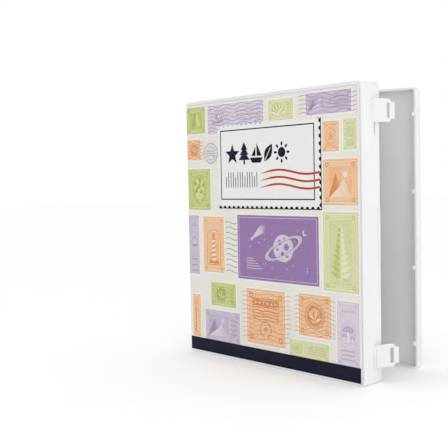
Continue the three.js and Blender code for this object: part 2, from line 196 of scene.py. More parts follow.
def moulded_plastic(name, rgb, roughness, grain_mm=0.55, grain=0.03):
    """Slightly cloudy plastic with a fine grain of grain_mm across and grain mm high."""
    look = Look(name, roughness)
    r, g, b = rgb
    clouds = look.noise(35.0)
    look.colour(look.ramp(clouds, linear((r - 2, g - 2, b - 1)), linear((r + 1, g + 1, b + 1))))
    fine = look.noise(grain_mm, detail=2.0)
    look.rough(fine, roughness - 0.08, roughness + 0.1)
    look.bump(fine, grain)
    look.shader.inputs["IOR"].default_value = 1.49  # of polypropylene
    return look.material


def paper(name, rgb, fibre_mm=0.8, roughness=0.7):
    """Board or paper with fibres along z."""
    look = Look(name, roughness)
    r, g, b = rgb
    fibres = look.noise(fibre_mm, detail=4.0, stretch=(1, 1, 0.35))
    clouds = look.ramp(look.noise(30.0), linear((r - 6, g - 6, b - 8)), linear((r + 3, g + 3, b + 3)))
    speck = look.ramp(fibres, linear((r - 9, g - 9, b - 11)), linear((r + 4, g + 4, b + 4)))
    look.colour(look.mix(look.noise(6.0), clouds, speck))
    look.rough(fibres, roughness - 0.08, roughness + 0.08)
    look.bump(fibres, 0.03)
    return look.material


def ink(name, rgb, pale):
    """Printed ink: a mottled ground with patches of engraved lines that fade in and out."""
    look = Look(name, 0.5)
    ground = look.ramp(look.noise(2.2, detail=6.0), linear(rgb), linear(pale), 0.36, 0.7)
    lined = look.ramp(look.lines(1.1, wobble=1.5), linear(rgb), linear(pale), 0.3, 0.62)
    where = look.ramp(look.noise(13.0), (0, 0, 0, 1), (0.8, 0.8, 0.8, 1), 0.42, 0.6)
    look.colour(look.mix(where, ground, lined))
    look.rough(look.noise(2.0), 0.42, 0.58)
    look.shader.inputs["Specular IOR Level"].default_value = 0.05
    return look.material


def clear_film(name, tint, alpha, roughness=0.12):
    """Glossy film with broad ripples, nearly clear."""
    look = Look(name, roughness)
    look.shader.inputs["Base Color"].default_value = linear(tint)
    look.shader.inputs["Alpha"].default_value = alpha
    ripple = look.noise(45.0, detail=1.0)
    look.rough(look.noise(4.0), roughness - 0.04, roughness + 0.1)
    look.bump(ripple, 0.25, strength=0.25)
    return look.material


CASE = moulded_plastic("case_plastic", (243, 243, 244), 0.42)
WEB = moulded_plastic("hinge_plastic", (240, 241, 243), 0.3, grain_mm=0.9, grain=0.01)
RINGS = moulded_plastic("ring_plastic", (232, 233, 235), 0.34, grain=0.012)
NYLON = moulded_plastic("rivet_nylon", (222, 222, 220), 0.45)
BOARD = paper("leaf_board", (244, 243, 239), fibre_mm=1.2, roughness=0.72)
CREAM = paper("printed_cream", (247, 244, 235))
FILM = clear_film("clear_film", (70, 73, 78), 0.04)
POCKET_FILM = clear_film("pocket_film", (232, 240, 248), 0.08, roughness=0.08)
WELD = moulded_plastic("film_weld", (236, 238, 240), 0.25, grain_mm=1.5, grain=0.02)

INKS = {  # each ink's tone and the paler tone of its mottling
    "margin": ((250, 249, 244), (253, 252, 249)),
    "green": ((187, 195, 99), (217, 221, 149)),
    "green_pale": ((223, 226, 165), (239, 239, 199)),
    "green_deep": ((157, 171, 69), (179, 189, 99)),
    "moss": ((212, 217, 150), (236, 236, 192)),
    "moss_pale": ((238, 238, 202), (248, 247, 224)),
    "moss_deep": ((186, 196, 112), (206, 213, 144)),
    "lavender": ((194, 180, 206), (216, 206, 222)),
    "lavender_pale": ((222, 214, 226), (236, 230, 236)),
    "lavender_deep": ((160, 144, 180), (180, 166, 196)),
    "mauve": ((217, 206, 220), (231, 222, 230)),
    "mauve_pale": ((237, 230, 238), (245, 240, 244)),
    "mauve_deep": ((187, 172, 198), (203, 190, 210)),
    "purple": ((153, 121, 174), (167, 139, 186)),
    "purple_pale": ((211, 201, 220), (233, 226, 236)),
    "purple_deep": ((119, 91, 150), (135, 109, 164)),
    "orange": ((245, 181, 125), (253, 213, 171)),
    "orange_pale": ((253, 225, 193), (253, 238, 215)),
    "orange_deep": ((225, 141, 83), (237, 161, 107)),
    "navy": ((20, 17, 40), (27, 24, 50)),
    "red": ((194, 62, 38), (204, 78, 50)),
    "white": ((248, 247, 244), (252, 251, 250)),
}
INK = {name: ink(f"ink_{name}", *tones) for name, tones in INKS.items()}

# ---- mesh helpers ----

CREASE = math.radians(35)  # a sharper edge than this isn't shaded smooth
FLAT = math.radians(1)  # faces this near to one plane are one face
CORNER = math.radians(40)  # an edge as sharp as this is rounded
ROUNDED_CREASE = math.radians(50)  # as CREASE, once the corners are rounded


def finished(name, bm, material):
    """The object of a finished bmesh, in the row frame."""
    bmesh.ops.recalc_face_normals(bm, faces=bm.faces)
    mesh = bpy.data.meshes.new(name)
    bm.to_mesh(mesh)
    bm.free()
    obj = bpy.data.objects.new(name, mesh)
    bpy.context.scene.collection.objects.link(obj)
    mesh.materials.append(material)
    mesh.shade_smooth()
    mesh.set_sharp_from_angle(angle=CREASE)
    return obj


def with_modifier(obj, kind, **settings):
    """Adds one modifier and makes its result the object's mesh."""
    modifier = obj.modifiers.new(kind, kind)
    for key, value in settings.items():
        setattr(modifier, key, value)
    graph = bpy.context.evaluated_depsgraph_get()
    made = bpy.data.meshes.new_from_object(obj.evaluated_get(graph))
    obj.modifiers.clear()
    obj.data = made


def rounded_copy(node, edge_mm, material):
    """Stands for a CAD node: the same shape with its edges rounded."""
    bm = bmesh.new()
    bm.from_mesh(frame["nodes"][node].data)
    bmesh.ops.remove_doubles(bm, verts=bm.verts, dist=1e-6)
    bmesh.ops.dissolve_limit(bm, angle_limit=FLAT, verts=bm.verts, edges=bm.edges)
    obj = finished(f"{node}_moulded", bm, material)
    with_modifier(obj, "BEVEL", width=edge_mm * MM, segments=2, limit_method="ANGLE", angle_limit=CORNER)
    obj.data.shade_smooth()
    obj.data.set_sharp_from_angle(angle=ROUNDED_CREASE)
    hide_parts(node)
    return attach(obj, frame["nodes"][node]["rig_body"])


def slab(bm, u, v, z):
    """A box inside the back case, between pairs of closed coordinates."""
    corners = [BACK_REST @ at(a, b, c) for c in z for b in v for a in u]
    verts = [bm.verts.new(p) for p in corners]
    for face in ((0, 1, 3, 2), (4, 6, 7, 5), (0, 4, 5, 1), (2, 3, 7, 6), (0, 2, 6, 4), (1, 5, 7, 3)):
        bm.faces.new([verts[i] for i in face])


# ---- floor, light and camera ----

FLOOR_HALF = 6.0
FLOOR_GLOW = 0.11  # keeps the floor white under the album
WHITE_TO, DIM_FROM = 0.24, 0.45  # heights of a direction, where the sky is white and where it is dim
SKY_DIM = 0.3  # how bright the sky is overhead, where it is 1 round the horizon
OVERHEAD_POWER, OVERHEAD_SPREAD = 1.7, math.radians(110)
KEY_PLACE, KEY_SIZE, KEY_POWER = Vector((1.7, -0.9, 1.2)), 1.6, 4.0
KEY_AIM = Vector((0.2, 0.0, 0.15))
CAMERA_PLACE = (0.753, -0.651, 0.205)
CAMERA_TURN = (-47.7, -3.0, -1.15)  # yaw, pitch and roll, in degrees
CAMERA_LENS = 65.25


def floor():
    bm = bmesh.new()
    corners = ((-1, -1), (1, -1), (1, 1), (-1, 1))
    bm.faces.new([bm.verts.new((FLOOR_HALF * x, FLOOR_HALF * y, 0)) for x, y in corners])
    mesh = bpy.data.meshes.new("floor")
    bm.to_mesh(mesh)
    bm.free()
    obj = bpy.data.objects.new("floor", mesh)
    bpy.context.scene.collection.objects.link(obj)
    look = Look("floor_paper", 0.75)
    look.colour(look.ramp(look.noise(60.0), linear((248, 248, 248)), linear((250, 250, 250))))
    look.shader.inputs["Emission Color"].default_value = (1, 1, 1, 1)
    look.shader.inputs["Emission Strength"].default_value = FLOOR_GLOW
    mesh.materials.append(look.material)


def sky():
    world = bpy.data.worlds.new("studio")
    world.use_nodes = True
    tree = world.node_tree
    background = tree.nodes["Background"]
    background.inputs["Strength"].default_value = 1.0
    direction = tree.nodes.new("ShaderNodeTexCoord").outputs["Generated"]
    height = tree.nodes.new("ShaderNodeSeparateXYZ")
    ramp = tree.nodes.new("ShaderNodeValToRGB")
    for stop, position, level in zip(ramp.color_ramp.elements, (WHITE_TO, DIM_FROM), (1.0, SKY_DIM)):
        stop.position = position
        stop.color = (level, level, level, 1)
    tree.links.new(direction, height.inputs["Vector"])
    tree.links.new(height.outputs["Z"], ramp.inputs["Fac"])
    tree.links.new(ramp.outputs["Color"], background.inputs["Color"])
    bpy.context.scene.world = world


def lamp(name, kind, power):
    light = bpy.data.lights.new(name, kind)
    light.energy = power
    obj = bpy.data.objects.new(name, light)
    bpy.context.scene.collection.objects.link(obj)
    return obj


def lamps():
    overhead = lamp("overhead", "SUN", OVERHEAD_POWER)
    overhead.data.angle = OVERHEAD_SPREAD
    key = lamp("key", "AREA", KEY_POWER)
    key.data.shape = "DISK"
    key.data.size = KEY_SIZE
    key.location = KEY_PLACE
    key.rotation_euler = (KEY_AIM - KEY_PLACE).to_track_quat("-Z", "Y").to_euler()


def camera():
    yaw, pitch, roll = (math.radians(angle) for angle in CAMERA_TURN)
    forward = Vector((math.sin(yaw) * math.cos(pitch), math.cos(yaw) * math.cos(pitch), math.sin(pitch)))
    level = Vector((math.cos(yaw), -math.sin(yaw), 0))
    up = level.cross(forward)
    right = math.cos(roll) * level + math.sin(roll) * up
    up = right.cross(forward)
    data = bpy.data.cameras.new("camera")
    data.sensor_width = 36.0
    data.lens = CAMERA_LENS
    data.clip_start = 0.01
    obj = bpy.data.objects.new("camera", data)
    turn = Matrix((right, up, -forward)).transposed().to_4x4()
    obj.matrix_world = Matrix.Translation(CAMERA_PLACE) @ turn
    bpy.context.scene.collection.objects.link(obj)
    bpy.context.scene.camera = obj
    bpy.context.scene.view_settings.view_transform = "Standard"


# ---- case, latches and what crosses the hinge lines ----

WEB_CENTRE = 1.2  # from the hinge line to the middle of the web's bend, along both panels
WEB_RADII = (0.65, 1.15)
HINGE_STEPS = 8


def cases():
    for node in ("spine_panel", "front_case", "back_case"):
        rounded_copy(node, 0.35, CASE)
    for node in ("top_latch", "bottom_latch"):
        rounded_copy(node, 0.3, CASE)


def hinge_wrap(name, side, centre, radii, span, material):
    """A strip bent round a hinge line, from a cover to the spine."""
    inner, outer = radii
    foot, top = span
    bm = bmesh.new()
    rings = []
    for i in range(HINGE_STEPS + 1):
        share = i / HINGE_STEPS  # 0 at the cover, 1 at the spine
        angle = -math.pi / 2 * (1 + share)
        turn = swing(f"{side}_hinge", 1 - share * share * (3 - 2 * share))
        ring = []
        for r, z in ((inner, foot), (outer, foot), (outer, top), (inner, top)):
            u, v = centre + r * math.cos(angle), centre + r * math.sin(angle)
            v = v if side == "front" else THICKNESS - v
            ring.append(bm.verts.new(turn @ at(u, v, z)))
        rings.append(ring)
    for a, b in zip(rings, rings[1:]):
        for k in range(4):
            bm.faces.new((a[k], a[(k + 1) % 4], b[(k + 1) % 4], b[k]))
    bm.faces.new(rings[0])
    bm.faces.new(rings[-1])
    start = sum((v.co for v in rings[0]), Vector()) / 4
    end = sum((v.co for v in rings[-1]), Vector()) / 4
    obj = finished(name, bm, material)
    start.z = end.z = 0
    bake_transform(obj)


def hinges():
    """The moulding's thin webs, the sheet and the film."""
    sheet_radii = (HINGE_CLEAR + SHEET_IN, HINGE_CLEAR + SHEET_OUT)
    film_radii = (HINGE_CLEAR + FILM_IN, HINGE_CLEAR + FILM_OUT)
    sheet_span, film_span = (SHEET_FOOT, SHEET_TOP), (FILM_FOOT, FILM_TOP)
    for side in ("front", "back"):
        name = f"{side}_hinge"
        hinge_wrap(f"{name}_web", side, WEB_CENTRE, WEB_RADII, (0, HEIGHT), WEB)
        hinge_wrap(f"{name}_sheet", side, HINGE_CLEAR, sheet_radii, sheet_span, CREAM)
        hinge_wrap(f"{name}_film", side, HINGE_CLEAR, film_radii, film_span, FILM)


# ---- printed shapes, in millimetres: loops of points, and bands as a loop with a hole's loop after it


def polar(x, y, reach, angle):
    return (x + reach * math.cos(angle), y + reach * math.sin(angle))


def placed(x, y, w, h, *shares):
    """Points at shares of w and h from (x, y)."""
    return [(x + w * a, y + h * b) for a, b in shares]


def circle(x, y, r, n=28):
    return [polar(x, y, r, 2 * math.pi * i / n) for i in range(n)]


def arc(x, y, rx, ry, start, stop, steps):
    """Points along part of an ellipse, from start to stop in half turns."""
    angles = [math.pi * (start + (stop - start) * i / steps) for i in range(steps + 1)]
    return [(x + rx * math.cos(a), y + ry * math.sin(a)) for a in angles]


def ellipse(x, y, rx, ry, n=36, tilt=0.0):
    c, s = math.cos(tilt), math.sin(tilt)
    level = [(rx * math.cos(2 * math.pi * i / n), ry * math.sin(2 * math.pi * i / n)) for i in range(n)]
    return [(x + a * c - b * s, y + a * s + b * c) for a, b in level]


def rect(x0, y0, x1, y1):
    return [(x0, y0), (x1, y0), (x1, y1), (x0, y1)]


def star(x, y, r, inner, points):
    reaches = [r, inner] * points
    return [polar(x, y, reach, math.pi / 2 + math.pi * i / points) for i, reach in enumerate(reaches)]


def lens(x, y, length, width, angle, n=7):
    """A leaf or petal shape that starts at (x, y) and points along angle."""
    side = [(length * i / n, width / 2 * math.sin(math.pi * i / n)) for i in range(n + 1)]
    loop = side + [(a, -b) for a, b in reversed(side[1:-1])]
    c, s = math.cos(angle), math.sin(angle)
    return [(x + a * c - b * s, y + a * s + b * c) for a, b in loop]


def rays(x, y, inner, outer, width, count, turn=0.0):
    angles = [turn + 2 * math.pi * i / count for i in range(count)]
    return [lens(*polar(x, y, inner, a), outer - inner, width, a, 4) for a in angles]


def ribbon(points, width):
    """A line of even or tapering width along points."""
    widths = width if isinstance(width, list) else [width] * len(points)
    left, right = [], []
    for i, (x, y) in enumerate(points):
        x0, y0 = points[max(i - 1, 0)]
        x1, y1 = points[min(i + 1, len(points) - 1)]
        length = math.hypot(x1 - x0, y1 - y0) or 1
        nx, ny = -(y1 - y0) / length, (x1 - x0) / length
        half = widths[i] / 2
        left.append((x + nx * half, y + ny * half))
        right.append((x - nx * half, y - ny * half))
    return left + right[::-1]


def wave(x0, x1, y, height, length, width, phase=0.0):
    steps = max(int((x1 - x0) / 1.5), 4)
    xs = [x0 + (x1 - x0) * i / steps for i in range(steps + 1)]
    return ribbon([(x, y + height * math.sin(2 * math.pi * (x - x0) / length + phase)) for x in xs], width)


def perforated(x0, y0, x1, y1, pitch=2.6, r=0.7):
    """A rectangle with half-round bites along its sides, as a stamp torn from a sheet has."""
    corners = [(x0, y0), (x1, y0), (x1, y1), (x0, y1)]
    loop = []
    for (ax, ay), (bx, by) in zip(corners, corners[1:] + corners[:1]):
        length = math.hypot(bx - ax, by - ay)
        dx, dy = (bx - ax) / length, (by - ay) / length
        count = max(int(length / pitch), 2)
        step = length / count
        loop.append((ax, ay))
        for i in range(count):
            middle = (i + 0.5) * step
            for k in range(7):
                turn = math.pi * k / 6
                along, inwards = middle - r * math.cos(turn), r * math.sin(turn)
                loop.append((ax + dx * along - dy * inwards, ay + dy * along + dx * inwards))
    return loop


def frame_of(x0, y0, x1, y1, width):
    return [rect(x0, y0, x1, y1), rect(x0 + width, y0 + width, x1 - width, y1 - width)[::-1]]


def annulus(x, y, outer, inner):
    return [circle(x, y, outer), circle(x, y, inner)[::-1]]


def oval_ring(x, y, outer, inner, n=36, tilt=0.0):
    """The band between two ellipses, each given by its two half-widths."""
    return [ellipse(x, y, *outer, n, tilt), ellipse(x, y, *inner, n, tilt)[::-1]]


# ---- printing ----

INK_SIDE = 0.1  # between the printing and a sheet's edge along the spine
INK_FORE = 0.3  # and along the fore-edge
NAVY_TOP = 18.5  # of the dark band along the foot


class Press:
    """Prints ink shapes on one sheet. Each ink becomes one thin piece that rides with the sheet's body.

    place gives the closed point of (s across the sheet, t up it, and the height over its face).
    """

    BASE = 0.02  # from the sheet's face to the first level
    STEP = 0.024  # between two levels; a printing on a higher level covers what lies lower
    DEPTH = 0.8  # of a printing, as a share of a step
    STAGGER = 0.0008  # keeps neighbours in one printing off each other's plane
    STAGGERED = 12  # printings in a row that lie at different heights

    def __init__(self, name, body, rest, place, right):
        self.name, self.body, self.rest, self.place = name, body, rest, place
        self.left = HINGE_CLEAR + INK_SIDE
        self.limits = (self.left, SHEET_FOOT, right, SHEET_TOP)
        self.shapes = {}
        self.count = 0
        self.add("navy", 3, rect(self.left, SHEET_FOOT, right, NAVY_TOP))

    def add(self, ink_name, level, *loops):
        self.count += 1
        low = self.BASE + (level - self.DEPTH) * self.STEP
        high = low + self.DEPTH * self.STEP + self.count % self.STAGGERED * self.STAGGER
        self.shapes.setdefault(ink_name, []).append((loops, low, high))

    def print(self):
        for ink_name, shapes in self.shapes.items():
            bm = bmesh.new()
            for loops, low, high in shapes:
                self.prism(bm, loops, low, high)
            obj = finished(f"{self.name}_{ink_name}", bm, INK[ink_name])
            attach(obj, self.body)

    def prism(self, bm, loops, low, high):
        points = [p for loop in loops for p in loop]
        triangles = tessellate_polygon([[Vector((s, t, 0)) for s, t in loop] for loop in loops])
        tops, feet = (
            [bm.verts.new(self.rest @ self.place(s, t, out)) for s, t in points] for out in (high, low)
        )
        for a, b, c in triangles:
            bm.faces.new((tops[a], tops[b], tops[c]))
            bm.faces.new((feet[c], feet[b], feet[a]))
        start = 0
        for loop in loops:
            n = len(loop)
            for i in range(n):
                a, b = start + i, start + (i + 1) % n
                bm.faces.new((tops[a], tops[b], feet[b], feet[a]))
            start += n


# ---- stamp motifs: each fills a plate, in tones of one ink ----


class Plate:
    """A block of a stamp, from (x0, y0) to (x1, y1), that is printed in three tones of one ink."""

    def __init__(self, press, tone, x0, y0, x1, y1):
        self.press, self.tone = press, tone
        self.box = self.x0, self.y0, self.x1, self.y1 = x0, y0, x1, y1
        self.w, self.h = x1 - x0, y1 - y0
        self.x, self.y = (x0 + x1) / 2, (y0 + y1) / 2

    def plain(self, level, *loops):
        self.press.add(self.tone, level, *loops)

    def pale(self, level, *loops):
        self.press.add(f"{self.tone}_pale", level, *loops)

    def deep(self, level, *loops):
        self.press.add(f"{self.tone}_deep", level, *loops)

    def at(self, across, up):
        """A place in the block, as shares of its width and height."""
        return (self.x0 + self.w * across, self.y0 + self.h * up)

    def shape(self, *shares):
        return [self.at(*pair) for pair in shares]

    def part(self, x0, y0, x1, y1):
        return Plate(self.press, self.tone, x0, y0, x1, y1)

    def shrunk(self, by):
        return self.part(self.x0 + by, self.y0 + by, self.x1 - by, self.y1 - by)


def motif_star(plate):
    x, y, r = plate.x, plate.y, min(plate.w, plate.h) * 0.48
    for ray in rays(x, y, r * 0.5, r, r * 0.12, 20):
        plate.pale(3.4, ray)
    plate.deep(4, star(x, y, r * 0.78, r * 0.33, 5))
    plate.pale(4.6, star(x, y, r * 0.56, r * 0.23, 5))
    plate.deep(5.2, star(x, y, r * 0.34, r * 0.14, 5))


def motif_fern(plate):
    x, w, h = plate.x, plate.w, plate.h
    rows = 9
    stem = [(x + w * 0.03 * math.sin(i), plate.y0 + h * (0.02 + 0.9 * i / 6)) for i in range(7)]
    plate.pale(3.4, ribbon(stem, w * 0.035))
    for i in range(rows):
        share = i / (rows - 1)
        y, reach = plate.y0 + h * (0.1 + 0.72 * share), w * 0.46 * (1.02 - 0.7 * share)
        for side, leaflet in ((1, plate.pale), (-1, plate.deep)):
            angle = math.pi / 2 - side * math.radians(64 - 26 * share)
            leaflet(4, lens(x, y, reach, h * 0.075, angle))
            plate.plain(4.6, ribbon([(x, y), polar(x, y, reach * 0.8, angle)], w * 0.012))


def motif_hills(plate):
    """Three peaks with shading strokes on their right sides, and a sun."""
    w, h = plate.w, plate.h
    sun, sun_r, foot = plate.at(0.72, 0.74), min(w, h) * 0.11, 0.02
    plate.pale(3.4, circle(*sun, sun_r))
    for ray in rays(*sun, sun_r * 1.25, sun_r * 2.1, sun_r * 0.24, 14):
        plate.pale(3.4, ray)
    for k, (peak, reach, height) in enumerate(((0.64, 0.34, 0.62), (0.3, 0.3, 0.8), (0.48, 0.44, 0.38))):
        slope, stroke = (plate.deep, plate.pale) if k == 1 else (plate.pale, plate.deep)
        left, right = max(peak - reach, 0.0), min(peak + reach, 1.0)
        right_side = (right, foot), (peak + reach * 0.3, height * 0.72), (peak, height)
        slope(3.8 + 0.6 * k, plate.shape((left, foot), *right_side, (peak - reach * 0.36, height * 0.66)))
        for i in range(1, 7):
            down = i / 7.5
            x, y = plate.at(peak + (right - peak) * down, foot + (height - foot) * (1 - down) * 0.86)
            end = (x - w * 0.02, max(y - h * 0.2, plate.y0 + h * foot))
            stroke(4.1 + 0.6 * k, ribbon([(x, y), end], [w * 0.014, w * 0.004]))


def motif_boat(plate):
    w, h = plate.w, plate.h
    x, y = plate.at(0.5, 0.34)
    plate.deep(4, placed(x, y, w, h, (-0.4, 0), (0.44, 0.03), (0.27, -0.15), (-0.28, -0.15)))
    plate.pale(4.6, ribbon(placed(x, y, w, h, (-0.35, -0.04), (0.37, -0.02)), h * 0.018))
    plate.deep(4.3, rect(x - w * 0.012, y, x + w * 0.012, y + h * 0.64))
    for side, reach, top in ((1, 0.38, 0.6), (-1, 0.3, 0.5)):
        sail = (0.035, 0.05), (reach, 0.07), (reach * 0.62, 0.3), (0.035, top)
        plate.pale(4.3, placed(x, y, side * w, h, *sail))
        for i in range(1, 5):
            row = 0.05 + 0.09 * i
            ends = placed(x, y, side * w, h, (0.05, row), (reach * (1 - 0.19 * i), row))
            plate.plain(4.9, ribbon(ends, h * 0.008))
    for i in range(4):
        row = y - h * (0.17 + 0.05 * i)
        plate.pale(3.4, wave(plate.x0, plate.x1, row, h * 0.014, w * 0.24, h * 0.014, i))


def motif_tower(plate):
    """A lighthouse under an arch."""
    x, w, h = plate.x, plate.w, plate.h
    spring, widest = plate.y0 + h * 0.62, w * 0.46
    for size, ink_in, level in ((1.0, plate.deep, 3.4), (0.92, plate.pale, 3.8), (0.84, plate.plain, 4.2)):
        r, foot = widest * size, plate.y0 + h * 0.06 + widest * (1 - size)
        ink_in(level, [(x + r, foot)] + arc(x, spring, r, r * 0.95, 0, 1, 16) + [(x - r, foot)])
    for ray in rays(x, plate.y0 + h * 0.68, w * 0.1, w * 0.36, w * 0.035, 12, 0.13):
        plate.pale(4.6, ray)
    plate.pale(5, plate.shape((0.35, 0.16), (0.65, 0.16), (0.585, 0.6), (0.415, 0.6)))
    for i in range(4):
        y, half = plate.y0 + h * (0.2 + 0.1 * i), w * (0.14 - 0.016 * i)
        plate.deep(5.4, placed(x, y, half, h, (-1, 0), (1, 0.02), (0.95, 0.055), (-0.95, 0.035)))
    plate.deep(5.4, rect(*plate.at(0.37, 0.6), *plate.at(0.63, 0.62)))
    plate.deep(5.8, rect(*plate.at(0.44, 0.63), *plate.at(0.56, 0.69)))
    plate.deep(5.8, plate.shape((0.41, 0.7), (0.59, 0.7), (0.5, 0.77)))
    plate.deep(5.4, plate.shape((0.12, 0.09), (0.88, 0.09), (0.74, 0.16), (0.5, 0.13), (0.28, 0.17)))


def motif_flower(plate):
    x, y = plate.at(0.5, 0.62)
    r = min(plate.w, plate.h * 0.8) * 0.46
    plate.pale(3.4, ribbon([(x, y), (x - r * 0.12, y - r * 0.9), (x + r * 0.1, plate.y0)], r * 0.11))
    for side in (1, -1):
        for drop in (1.1, 1.45):
            plate.pale(3.4, lens(x, y - r * drop, r * 0.8, r * 0.27, math.pi / 2 - side))
    for i in range(10):
        angle = 2 * math.pi * i / 10 + 0.2
        petal = plate.pale if i % 2 else plate.deep
        petal(4, lens(x, y, r, r * 0.46, angle))
        for spread in (-0.12, 0.12):
            vein = [polar(x, y, r * 0.2, angle), polar(x, y, r * 0.72, angle + spread)]
            plate.plain(4.4, ribbon(vein, r * 0.025))
    plate.plain(5, circle(x, y, r * 0.27))
    plate.deep(5.4, *annulus(x, y, r * 0.22, r * 0.15))
    plate.deep(5.4, circle(x, y, r * 0.07, 10))


def motif_shell(plate):
    x, y = plate.at(0.5, 0.12)
    r = min(plate.w * 0.56, plate.h * 0.8)
    for i in range(11):
        rib = plate.deep if i % 2 else plate.pale
        rib(4, lens(x, y, r, r * 0.24, math.pi * (0.12 + 0.76 * i / 10)))
    for reach in (0.55, 0.72, 0.88):
        plate.plain(4.6, ribbon(arc(x, y, r * reach, r * reach, 0.14, 0.86, 14), r * 0.02))
    plate.pale(5, circle(x, y + r * 0.05, r * 0.13))


def motif_rosette(plate):
    """Engine-turned rings with a spray of leaves in the middle."""
    x, y, r = plate.x, plate.y, min(plate.w, plate.h) * 0.48
    plate.pale(3.4, circle(x, y, r, 40))
    for i in range(12):
        band = oval_ring(x, y, (r * 0.97, r * 0.62), (r * 0.94, r * 0.585), tilt=math.pi * i / 12)
        plate.deep(3.8, *band)
    plate.plain(4.2, circle(x, y, r * 0.6))
    plate.deep(4.6, *annulus(x, y, r * 0.6, r * 0.54))
    for i, angle in enumerate((0.35, 0.85, 1.35, 1.79, 2.29, 2.79)):
        leaf = plate.deep if i % 2 else plate.pale
        leaf(5, lens(x, y - r * 0.36, r * 0.74, r * 0.16, angle))


def motif_bird(plate):
    """A bird in flight: body, beak, near wing, far wing and tail, over three waves."""
    x, y, size = plate.x, plate.y, min(plate.w, plate.h * 1.25)
    plate.deep(4.6, lens(x - size * 0.3, y - size * 0.14, size * 0.62, size * 0.17, 0.18))
    plate.deep(4.6, lens(x + size * 0.26, y - size * 0.03, size * 0.2, size * 0.05, 0.1))
    for i in range(6):
        feather, reach = plate.pale if i % 2 else plate.deep, size * (0.5 - 0.035 * i)
        feather(5, lens(x - size * 0.02, y - size * 0.05, reach, size * 0.09, 1.0 + 0.19 * i))
    for i in range(4):
        reach = size * (0.42 - 0.04 * i)
        plate.deep(3.8, lens(x - size * 0.08, y - size * 0.06, reach, size * 0.08, 1.9 + 0.2 * i))
    for i in range(3):
        plate.deep(4, lens(x - size * 0.24, y - size * 0.12, size * 0.25, size * 0.07, 3.0 + 0.28 * i))
    for i in range(3):
        row, half = y - size * (0.3 + 0.045 * i), size * 0.4
        plate.pale(3.4, wave(x - half, x + half, row, size * 0.012, size * 0.3, size * 0.014, i))


CRATERS = (  # middle and size, as shares of the planet's radius
    (-0.35, 0.42, 0.2),
    (0.3, 0.1, 0.26),
    (-0.1, -0.4, 0.17),
    (0.35, -0.55, 0.12),
    (-0.6, -0.1, 0.11),
    (0.1, 0.72, 0.1),
)


def motif_planet(plate):
    """A ringed planet, a comet, a moon, stars and a few rules."""
    w, h = plate.w, plate.h
    x, y = plate.at(0.6, 0.52)
    r = min(h * 0.27, w * 0.2)
    plate.pale(3.4, circle(x, y, r, 40))
    for dx, dy, size in CRATERS:
        crater = (x + dx * r, y + dy * r)
        plate.plain(4, *annulus(*crater, size * r, size * r * 0.62))
        plate.deep(4, circle(*crater, size * r * 0.5, 14))
    for i in range(7):
        edge = [polar(x, y, r * reach, -0.9 + 0.2 * i) for reach in (0.78, 0.98)]
        plate.plain(4.4, ribbon(edge, r * 0.03))
    for outer, inner, ink_in in ((2.0, 1.86, plate.pale), (1.8, 1.62, plate.pale), (1.56, 1.46, plate.deep)):
        sizes = [(r * reach, r * reach * 0.3) for reach in (outer, inner)]
        ink_in(5, *oval_ring(x, y, *sizes, 48, 0.42))
    head = plate.at(0.14, 0.68)
    for k in range(-2, 3):
        plate.pale(3.4, lens(*head, w * (0.27 - 0.02 * abs(k)), h * 0.03, 0.62 + 0.1 * k))
    plate.pale(4.2, circle(*head, h * 0.035, 16))
    moon, moon_r = plate.at(0.9, 0.84), h * 0.06
    plate.pale(3.4, circle(*moon, moon_r, 20))
    plate.plain(4, circle(moon[0] + moon_r * 0.4, moon[1] + moon_r * 0.25, moon_r * 0.8, 20))
    for _ in range(26):
        place = plate.at(0.05 + 0.9 * rng.random(), 0.06 + 0.88 * rng.random())
        if math.dist(place, (x, y)) > r * 1.25:
            plate.pale(3.2, star(*place, (0.02 + 0.02 * rng.random()) * h, 0.006 * h, 4))
    for i in range(5):
        row = 0.08 + 0.05 * i
        plate.pale(3.4, ribbon(plate.shape((0.05, row), (0.3 - 0.035 * i, row)), h * 0.014))


def motif_mushroom(plate):
    w, h = plate.w, min(plate.h, plate.w * 1.5)
    for across, size in ((0.0, 1.0), (-0.3, 0.5), (0.3, 0.42)):
        x, y, r = plate.x + across * w, plate.y0 + h * 0.05, w * 0.4 * size
        top = y + h * 0.46 * size
        plate.pale(4, [(x - r * 0.26, y), (x + r * 0.26, y), (x + r * 0.18, top), (x - r * 0.18, top)])
        plate.deep(4.6, arc(x, top, r, r * 0.85, 0, 1, 14))
        for k in (-0.5, 0.0, 0.45):
            plate.pale(5.2, ellipse(x + k * r, top + r * (0.45 - 0.35 * abs(k)), r * 0.14, r * 0.1, 14))
    for i in range(9):
        blade = plate.x0 + w * (0.05 + 0.11 * i)
        plate.deep(3.6, lens(blade, plate.y0, h * 0.1, w * 0.02, math.pi / 2 + 0.3 * (i % 3 - 1)))


def motif_bars(plate):
    """Banner, wavy rules and a wreath: stands in for lettering."""
    w, h = plate.w, plate.h
    plate.deep(3.4, rect(*plate.at(0, 0.74), *plate.at(1, 0.98)))
    plate.pale(3.8, *frame_of(*plate.at(0.03, 0.765), *plate.at(0.97, 0.955), w * 0.012))
    for i in range(6):
        plate.pale(4, star(*plate.at(0.14 + 0.145 * i, 0.86), w * 0.05, w * 0.022, 5))
    for i in range(4):
        row = plate.y0 + h * (0.66 - 0.075 * i)
        plate.deep(3.4, wave(plate.x0, plate.x1, row, h * 0.014, w * 0.5, h * 0.026, i * 0.4))
    x, y = plate.at(0.5, 0.19)
    r = min(w * 0.2, h * 0.17)
    for side in (1, -1):
        for k in range(7):
            angle = math.radians(90 + side * (25 * k - 170))
            leaf = lens(*polar(x, y, r, angle), r * 0.6, r * 0.22, angle + side * math.pi / 2.6)
            plate.deep(3.4 + 0.1 * (k % 2), leaf)
    plate.deep(3.4, star(x, y, r * 0.5, r * 0.2, 5))


